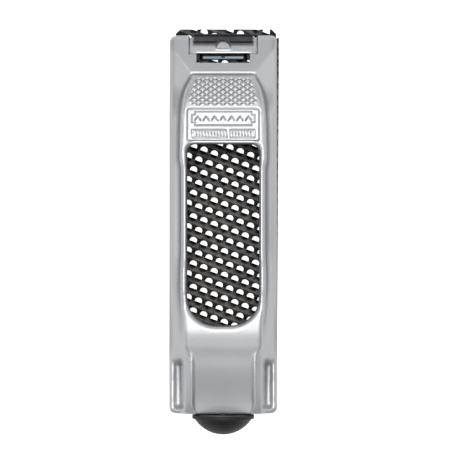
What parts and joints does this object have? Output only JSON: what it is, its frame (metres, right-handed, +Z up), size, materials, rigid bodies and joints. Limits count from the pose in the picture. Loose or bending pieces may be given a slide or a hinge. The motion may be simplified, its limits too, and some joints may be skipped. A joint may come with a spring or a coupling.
{
  "type": "wood rasp",
  "caption": "Pocket wood rasp: a hollow cast body over a perforated toothed steel blade, pulled tight by a claw, screw and domed knob.",
  "frame": {"origin": "under the middle of the tool, on the plane of the tooth tips", "axes": "+X right, +Y forward in the cutting direction, +Z up away from the work"},
  "size_m": [0.0431, 0.1588, 0.0282],
  "materials": {
    "cast_metal": "satin silver die-cast",
    "blade_steel": "hardened, dark and oiled",
    "plated_steel": "zinc plated",
    "black_plastic": "black moulded, half gloss"
  },
  "bodies": {
    "tool_body": {"body_casting": "cast_metal", "blade": "blade_steel", "front_hook_strap": "blade_steel", "rear_hook_strap": "blade_steel", "thrust_washer": "plated_steel"},
    "knob_and_screw": {"tension_knob": "black_plastic", "tension_screw": "plated_steel", "retaining_ring": "blade_steel"},
    "claw": {"tension_claw": "plated_steel", "claw_nut": "plated_steel"}
  },
  "joints": [
    {"name": "knob_turn", "type": "hinge", "parent": "tool_body", "child": "knob_and_screw", "pos_m": [0, -0.0712, 0.0133], "axis": [0, -1, 0], "range_deg": [0, 1440]},
    {"name": "claw_slide", "type": "slide", "parent": "tool_body", "child": "claw", "axis": [0, 1, 0], "range_m": [0, 0.0032]}
  ],
  "couplings": [
    {"joint": "claw_slide", "follows": "knob_turn", "m_per_rad": 0.00012732}
  ]
}
